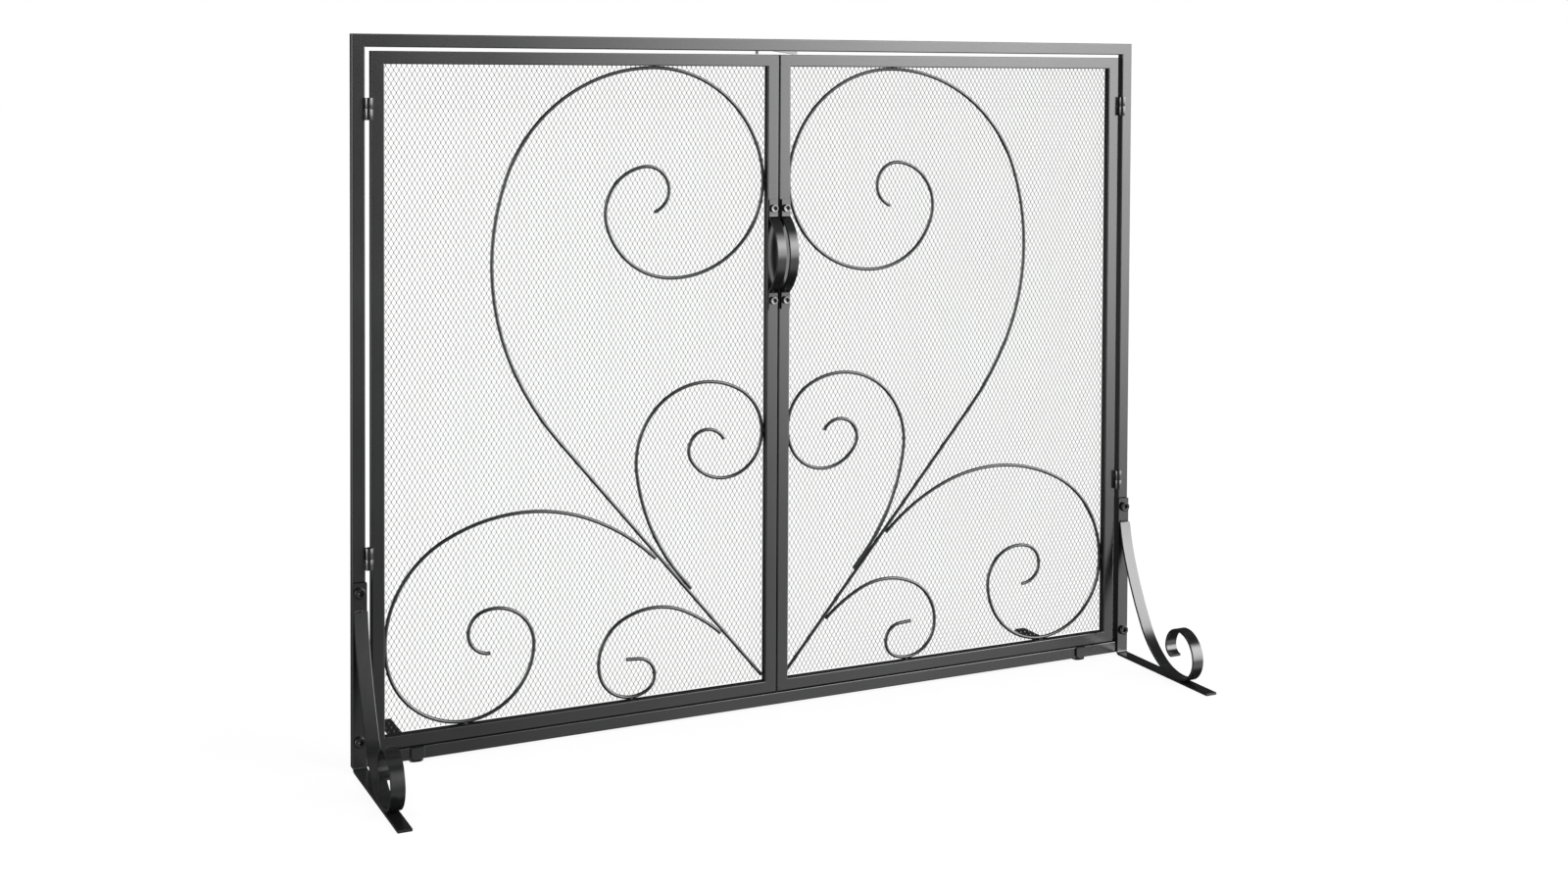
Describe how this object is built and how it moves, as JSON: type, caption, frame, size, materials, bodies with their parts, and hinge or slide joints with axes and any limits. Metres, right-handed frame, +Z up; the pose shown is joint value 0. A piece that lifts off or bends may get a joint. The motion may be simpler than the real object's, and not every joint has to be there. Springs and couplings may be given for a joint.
{
  "type": "fireplace screen",
  "caption": "Free-standing steel fireplace screen with two hinged mesh doors, scrolled rod ornament, flat bar feet and D handles",
  "frame": {"origin": "on the hearth, at the centre of the footprint box", "axes": "+X to the right seen from the room, +Y towards the fire, +Z up; the doors open towards -Y"},
  "size_m": [0.99, 0.344, 0.787],
  "materials": {
    "powder_coat": "satin graphite powder coat",
    "mesh_coat": "satin graphite powder coat on expanded mesh",
    "dark_fastener": "black oxide"
  },
  "bodies": {
    "frame": {"left_post": "powder_coat", "right_post": "powder_coat", "top_rail": "powder_coat", "bottom_rail": "powder_coat", "left_foot_bracket": "powder_coat", "right_foot_bracket": "powder_coat", "left_foot_scroll": "powder_coat", "right_foot_scroll": "powder_coat", "left_foot_bolts": "dark_fastener", "right_foot_bolts": "dark_fastener", "left_rear_foot": "powder_coat", "right_rear_foot": "powder_coat", "left_upper_frame_knuckle": "powder_coat", "left_lower_frame_knuckle": "powder_coat", "right_upper_frame_knuckle": "powder_coat", "right_lower_frame_knuckle": "powder_coat", "left_upper_hinge_pin": "powder_coat", "left_lower_hinge_pin": "powder_coat", "right_upper_hinge_pin": "powder_coat", "right_lower_hinge_pin": "powder_coat", "catch_leaf": "dark_fastener", "catch_peg": "dark_fastener"},
    "left_door": {"left_hinge_stile": "powder_coat", "left_meeting_stile": "powder_coat", "left_door_top_rail": "powder_coat", "left_door_bottom_rail": "powder_coat", "left_mesh": "mesh_coat", "left_main_scroll": "powder_coat", "left_heart_scroll": "powder_coat", "left_outer_scroll": "powder_coat", "left_small_scroll": "powder_coat", "left_upper_door_knuckle": "powder_coat", "left_lower_door_knuckle": "powder_coat", "left_handle": "powder_coat", "left_handle_screws": "dark_fastener"},
    "right_door": {"right_hinge_stile": "powder_coat", "right_meeting_stile": "powder_coat", "right_door_top_rail": "powder_coat", "right_door_bottom_rail": "powder_coat", "right_mesh": "mesh_coat", "right_main_scroll": "powder_coat", "right_heart_scroll": "powder_coat", "right_outer_scroll": "powder_coat", "right_small_scroll": "powder_coat", "right_upper_door_knuckle": "powder_coat", "right_lower_door_knuckle": "powder_coat", "right_handle": "powder_coat", "right_handle_screws": "dark_fastener"}
  },
  "joints": [
    {"name": "left_door_swing", "type": "hinge", "parent": "frame", "child": "left_door", "pos_m": [-0.47775, 0.0185, 0.46], "axis": [0, 0, -1], "range_deg": [0, 90]},
    {"name": "right_door_swing", "type": "hinge", "parent": "frame", "child": "right_door", "pos_m": [0.47775, 0.0185, 0.46], "axis": [0, 0, 1], "range_deg": [0, 90]}
  ]
}
